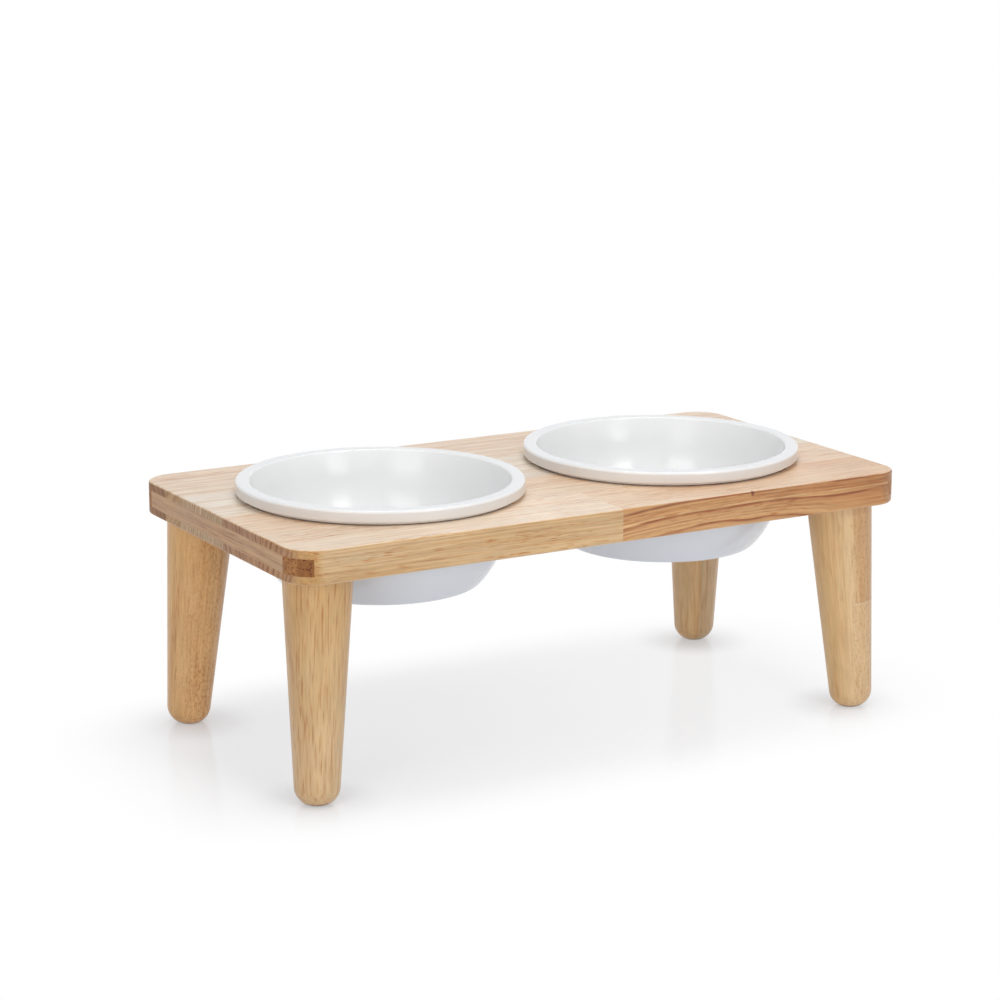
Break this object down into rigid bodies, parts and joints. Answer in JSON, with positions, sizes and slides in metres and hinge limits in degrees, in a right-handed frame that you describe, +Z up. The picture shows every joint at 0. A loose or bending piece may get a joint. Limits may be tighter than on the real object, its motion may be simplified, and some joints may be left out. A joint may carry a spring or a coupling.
{
  "type": "raised dog bowl stand",
  "caption": "Low wooden stand with a rounded rectangular top on splayed tapered legs, holding rimmed bowls that hang in round holes and lift out for filling or washing.",
  "frame": {"origin": "on the floor, under the middle of the top", "axes": "+X along the top's length, to the right seen from the front; +Y to the back; +Z up"},
  "size_m": [0.4, 0.207, 0.1555],
  "materials": {
    "pale_stave": "pale, fine straight grain, clear satin oil",
    "golden_stave": "golden, streaked grain, clear satin oil",
    "striped_stave": "reddish brown stripes, clear satin oil",
    "end_spline": "brown, cross grain, clear satin oil",
    "leg_wood": "honey, turned, clear satin oil",
    "bolt_steel": "zinc plated",
    "insert_steel": "yellow zinc plated",
    "bowl_coating": "white satin coating"
  },
  "bodies": {
    "stand": {"front_stave_left": "golden_stave", "front_stave_right": "striped_stave", "second_stave_left": "pale_stave", "second_stave_bridge": "pale_stave", "second_stave_right": "pale_stave", "third_stave_left": "pale_stave", "third_stave_bridge": "pale_stave", "third_stave_right": "pale_stave", "fourth_stave_left": "pale_stave", "fourth_stave_bridge": "pale_stave", "fourth_stave_right": "pale_stave", "fifth_stave_left": "pale_stave", "fifth_stave_bridge": "pale_stave", "fifth_stave_right": "pale_stave", "back_stave": "pale_stave", "left_end_spline": "end_spline", "right_end_spline": "end_spline", "front_left_leg": "leg_wood", "front_right_leg": "leg_wood", "back_left_leg": "leg_wood", "back_right_leg": "leg_wood", "hanger_bolts": "bolt_steel", "threaded_inserts": "insert_steel"},
    "left_bowl": {"left_bowl": "bowl_coating"},
    "right_bowl": {"right_bowl": "bowl_coating"}
  },
  "joints": [
    {"name": "left_bowl_lift", "type": "slide", "parent": "stand", "child": "left_bowl", "axis": [0, 0, 1], "range_m": [0, 0.16]},
    {"name": "right_bowl_lift", "type": "slide", "parent": "stand", "child": "right_bowl", "axis": [0, 0, 1], "range_m": [0, 0.16]}
  ]
}
